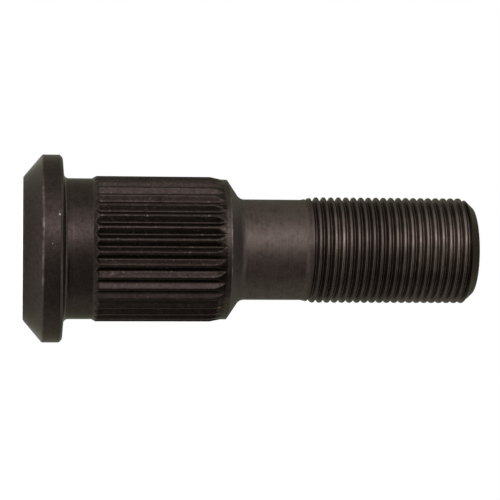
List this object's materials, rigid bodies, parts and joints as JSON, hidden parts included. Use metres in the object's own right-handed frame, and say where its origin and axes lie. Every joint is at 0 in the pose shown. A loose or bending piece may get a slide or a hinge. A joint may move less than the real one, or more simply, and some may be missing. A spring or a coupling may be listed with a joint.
{
  "type": "wheel stud",
  "caption": "Forged steel wheel stud with a round chamfered head, a serrated press-in neck, a plain shank and a left-hand threaded end.",
  "frame": {"origin": "centre of the head's flat outer face, which the stud stands on", "axes": "+Z along the stud from the head to the threaded tip; a groove of the serrations lies 5 degrees from +X"},
  "size_m": [0.0442, 0.0442, 0.1071],
  "materials": {
    "phosphated_steel": "dark phosphate coat with a thin film of oil, satin, worn bright on the thread crests"
  },
  "bodies": {
    "root": {"wheel_stud": "phosphated_steel"}
  },
  "joints": []
}
